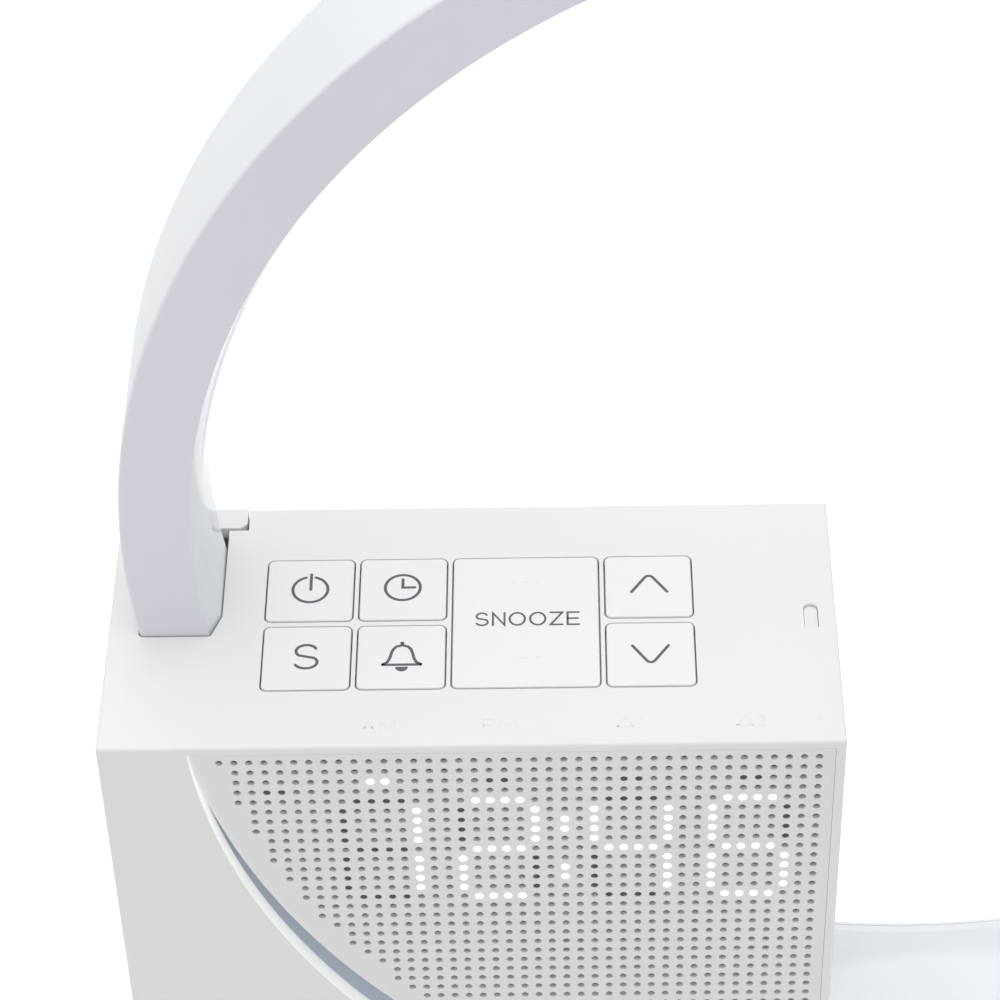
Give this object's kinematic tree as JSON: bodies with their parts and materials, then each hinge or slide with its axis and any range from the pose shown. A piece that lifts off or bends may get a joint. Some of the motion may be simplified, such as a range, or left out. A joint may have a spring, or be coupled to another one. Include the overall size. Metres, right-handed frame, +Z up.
{
  "type": "sunrise alarm clock",
  "caption": "Bedside alarm clock: white box with perforated display front, flush top keys and a tall light ring passing through the box.",
  "frame": {"origin": "centre of the whole object's footprint, on the table", "axes": "+Z up, -Y is the display front, +X to the right where the ring stands clear of the box"},
  "size_m": [0.2506, 0.05, 0.2482],
  "materials": {
    "housing_white": "fine satin texture, moulded ABS",
    "key_white": "fine satin texture, printed legends",
    "grille_white": "satin, perforated",
    "ring_white": "smooth satin, faint lavender tint",
    "diffuser_milk": "milky translucent acrylic, semi-gloss",
    "liner_grey": "matt blue-grey plastic",
    "scrim_grey": "fine woven acoustic scrim",
    "black_plastic": "matt black moulding",
    "led_lit": "lit white LED",
    "led_unlit": "unlit LED lens",
    "led_yellow": "phosphor LED chip",
    "circuit_board": "green solder mask",
    "flex_strip": "white flexible circuit",
    "ribbon": "flat flexible cable",
    "chip_black": "epoxy package",
    "steel": "zinc plated steel",
    "plunger_white": "acetal",
    "carrier_white": "moulded ABS",
    "rubber_grey": "matt silicone rubber",
    "cone_paper": "coated paper cone",
    "surround_rubber": "rubber roll",
    "foam_black": "closed-cell foam",
    "lead_black": "insulated lead",
    "clear_window": "clear light pipe"
  },
  "bodies": {
    "clock": {"battery_contact": "steel", "battery_holder": "black_plastic", "board_chips": "chip_black", "coin_cell": "steel", "display_board": "circuit_board", "display_board_screws": "steel", "display_leds_lit": "led_lit", "display_leds_unlit": "led_unlit", "display_light_guide": "black_plastic", "display_ribbon": "ribbon", "dust_scrim": "scrim_grey", "front_housing": "housing_white", "grille_panel": "grille_white", "housing_feet": "rubber_grey", "key_board": "circuit_board", "key_board_screws": "steel", "key_ribbon": "ribbon", "key_switches": "chip_black", "light_sensor": "chip_black", "light_window": "clear_window", "main_board": "circuit_board", "main_board_screws": "steel", "rear_cover": "housing_white", "rear_cover_screws": "steel", "ring_carrier": "carrier_white", "ring_channel": "ring_white", "ring_clamp_lower": "carrier_white", "ring_clamp_screws": "steel", "ring_clamp_upper": "carrier_white", "ring_diffuser": "diffuser_milk", "ring_foot": "rubber_grey", "ring_lead": "lead_black", "ring_led_strip": "flex_strip", "ring_leds": "led_yellow", "ring_tunnel_liner": "liner_grey", "speaker_basket": "black_plastic", "speaker_cone": "cone_paper", "speaker_dust_cap": "cone_paper", "speaker_gasket": "foam_black", "speaker_lead": "lead_black", "speaker_magnet": "steel", "speaker_screws": "steel", "speaker_surround": "surround_rubber", "usb_c_socket": "steel"},
    "power_button": {"power_key": "key_white", "power_switch_plunger": "plunger_white"},
    "clock_button": {"clock_key": "key_white", "clock_switch_plunger": "plunger_white"},
    "sound_button": {"sound_key": "key_white", "sound_switch_plunger": "plunger_white"},
    "alarm_button": {"alarm_key": "key_white", "alarm_switch_plunger": "plunger_white"},
    "snooze_button": {"snooze_key": "key_white", "snooze_switch_plunger": "plunger_white"},
    "up_button": {"up_key": "key_white", "up_switch_plunger": "plunger_white"},
    "down_button": {"down_key": "key_white", "down_switch_plunger": "plunger_white"},
    "battery_door": {"battery_cap": "housing_white"}
  },
  "joints": [
    {"name": "power_press", "type": "slide", "parent": "clock", "child": "power_button", "axis": [0, 0, -1], "range_m": [0, 0.0005], "stiffness_N_per_m": 400, "springref_m": -0.0005},
    {"name": "clock_press", "type": "slide", "parent": "clock", "child": "clock_button", "axis": [0, 0, -1], "range_m": [0, 0.0005], "stiffness_N_per_m": 400, "springref_m": -0.0005},
    {"name": "sound_press", "type": "slide", "parent": "clock", "child": "sound_button", "axis": [0, 0, -1], "range_m": [0, 0.0005], "stiffness_N_per_m": 400, "springref_m": -0.0005},
    {"name": "alarm_press", "type": "slide", "parent": "clock", "child": "alarm_button", "axis": [0, 0, -1], "range_m": [0, 0.0005], "stiffness_N_per_m": 400, "springref_m": -0.0005},
    {"name": "snooze_press", "type": "slide", "parent": "clock", "child": "snooze_button", "axis": [0, 0, -1], "range_m": [0, 0.0005], "stiffness_N_per_m": 400, "springref_m": -0.0005},
    {"name": "up_press", "type": "slide", "parent": "clock", "child": "up_button", "axis": [0, 0, -1], "range_m": [0, 0.0005], "stiffness_N_per_m": 400, "springref_m": -0.0005},
    {"name": "down_press", "type": "slide", "parent": "clock", "child": "down_button", "axis": [0, 0, -1], "range_m": [0, 0.0005], "stiffness_N_per_m": 400, "springref_m": -0.0005},
    {"name": "battery_cap_turn", "type": "hinge", "parent": "clock", "child": "battery_door", "pos_m": [-0.09532, 0.0103, 0.0012], "axis": [0, 0, -1], "range_deg": [0, 40]}
  ]
}
